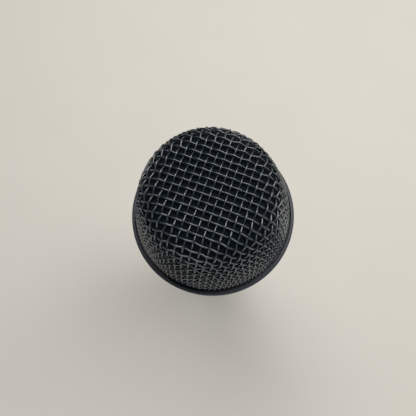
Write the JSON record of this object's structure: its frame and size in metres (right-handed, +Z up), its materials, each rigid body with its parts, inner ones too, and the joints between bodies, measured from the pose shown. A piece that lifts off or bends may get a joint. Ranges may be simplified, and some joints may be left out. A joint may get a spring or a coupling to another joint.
{
  "type": "dynamic microphone",
  "caption": "Handheld dynamic vocal microphone with a woven wire grille that unscrews, a slim dark ring, a tapered handle, a slide switch and a plug socket in the tail.",
  "frame": {"origin": "centre of the flat tail face", "axes": "+Z up the axis to the grille, -Y towards the side with the switch"},
  "size_m": [0.051, 0.051, 0.162],
  "materials": {
    "handle_paint": "satin navy-black paint on a zinc and aluminium die casting",
    "grille_wire": "dark grey painted woven steel wire",
    "ring_paint": "satin navy-black paint",
    "foam": "open-cell black acoustic foam",
    "black_plastic": "fine-grained moulded black plastic",
    "gold_contact": "gold-plated brass",
    "steel": "plain steel",
    "black_screw": "black oxide steel",
    "rubber": "soft black rubber",
    "capsule_metal": "turned aluminium",
    "magnet": "ground magnet alloy, nickel plated",
    "copper": "enamelled copper wire",
    "film": "clear polyester film",
    "cloth": "fine woven silk",
    "felt": "pressed felt",
    "board": "phenolic board",
    "laminate": "stacked steel laminations",
    "bobbin": "natural nylon",
    "wire_red": "insulated hook-up wire"
  },
  "bodies": {
    "handle": {"handle": "handle_paint", "switch_plate": "black_plastic", "switch_body": "steel", "switch_tags": "gold_contact", "switch_screws": "black_screw", "connector_insert": "black_plastic", "contact_pins": "gold_contact", "insert_screw": "black_screw", "transformer_core": "laminate", "transformer_bobbin": "bobbin", "transformer_winding": "copper", "transformer_sleeve": "rubber", "lead_wires": "wire_red", "shock_mount": "rubber", "capsule_shell": "capsule_metal", "rear_chamber": "black_plastic", "felt_plug": "felt", "terminal_board": "board", "solder_lugs": "gold_contact", "yoke_cup": "steel", "magnet": "magnet", "pole_piece": "steel", "top_plate": "steel", "diaphragm_surround": "film", "cloth_disc": "cloth", "front_cap": "black_plastic"},
    "neck_gasket": {"neck_gasket": "rubber"},
    "grille": {"grille_collar": "ring_paint", "lower_basket": "grille_wire", "grille_ring": "ring_paint", "upper_basket": "grille_wire", "foam_windscreen": "foam"},
    "slider": {"switch_slider": "black_plastic"},
    "diaphragm": {"diaphragm": "film", "voice_coil": "copper"}
  },
  "joints": [
    {"name": "grille_climb", "type": "slide", "parent": "handle", "child": "neck_gasket", "axis": [0, 0, 1], "range_m": [0, 0.004]},
    {"name": "grille_turn", "type": "hinge", "parent": "neck_gasket", "child": "grille", "pos_m": [0, 0, 0.116], "axis": [0, 0, 1], "range_deg": [0, 1440]},
    {"name": "switch_slide", "type": "slide", "parent": "handle", "child": "slider", "axis": [0, -0.0505, 0.9987], "range_m": [0, 0.004]},
    {"name": "diaphragm_stroke", "type": "slide", "parent": "handle", "child": "diaphragm", "axis": [0, 0, 1], "range_m": [-0.0004, 0.0004], "stiffness_N_per_m": 400, "deforming": ["diaphragm_surround"]}
  ],
  "couplings": [
    {"joint": "grille_climb", "follows": "grille_turn", "m_per_rad": 0.00015915}
  ]
}
